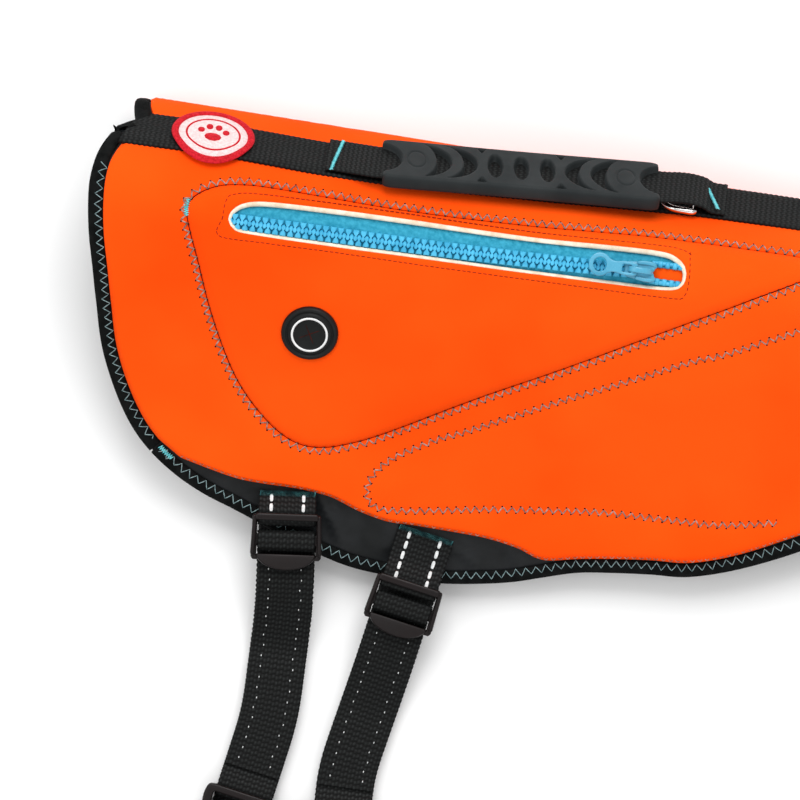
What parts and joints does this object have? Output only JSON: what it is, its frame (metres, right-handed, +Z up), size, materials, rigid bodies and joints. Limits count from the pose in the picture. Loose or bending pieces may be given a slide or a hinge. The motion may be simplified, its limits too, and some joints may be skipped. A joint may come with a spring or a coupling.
{
  "type": "dog life jacket",
  "caption": "Padded dog life jacket folded flat along the spine, with a carrying grip, a zipped pocket and two adjustable belly straps.",
  "frame": {"origin": "middle of the bounding box, on the surface that the folded jacket lies on", "axes": "+X along the spine from tail to neck, +Y from the hems to the spine fold, +Z up off the surface"},
  "size_m": [0.4996, 0.3837, 0.0713],
  "materials": {
    "orange_neoprene": "soft brushed neoprene",
    "black_nylon": "smooth nylon",
    "black_binding": "knitted tape",
    "black_webbing": "ribbed webbing",
    "blue_zip": "moulded zip",
    "grey_rubber": "matt moulded rubber",
    "woven_patch": "woven badge",
    "steel_ring": "bright plated",
    "black_plastic": "moulded"
  },
  "bodies": {
    "jacket": {"adjuster_front": "black_plastic", "adjuster_rear": "black_plastic", "anchor_webbing_front": "black_webbing", "anchor_webbing_rear": "black_webbing", "belly_buckle_front_plug": "black_plastic", "belly_buckle_front_socket": "black_plastic", "belly_buckle_rear_plug": "black_plastic", "belly_buckle_rear_socket": "black_plastic", "belly_strap_front": "black_webbing", "belly_strap_rear": "black_webbing", "binding_hem_far": "black_binding", "binding_hem_near": "black_binding", "binding_neck_far": "black_binding", "binding_neck_near": "black_binding", "binding_tail_far": "black_binding", "binding_tail_near": "black_binding", "chest_buckle_plug": "black_plastic", "chest_buckle_socket": "black_plastic", "chest_strap_far": "black_webbing", "chest_strap_near": "black_webbing", "cover_far": "orange_neoprene", "cover_near": "orange_neoprene", "d_ring": "steel_ring", "far_strap_front": "black_webbing", "far_strap_rear": "black_webbing", "grip": "grey_rubber", "grommet": "grey_rubber", "handle_webbing": "black_webbing", "lining_far": "black_nylon", "lining_near": "black_nylon", "patch": "woven_patch", "pocket_panel": "orange_neoprene", "spine_webbing": "black_webbing", "zip_slider": "blue_zip", "zip_tape_lower": "blue_zip", "zip_tape_upper": "blue_zip"},
    "zip_pull": {"zip_pull": "blue_zip"}
  },
  "joints": [
    {"name": "zip_pull_hinge", "type": "hinge", "parent": "jacket", "child": "zip_pull", "pos_m": [-0.0111, 0.14386, 0.07041], "axis": [0, 0.9999, -0.0121], "range_deg": [0, 150]}
  ]
}
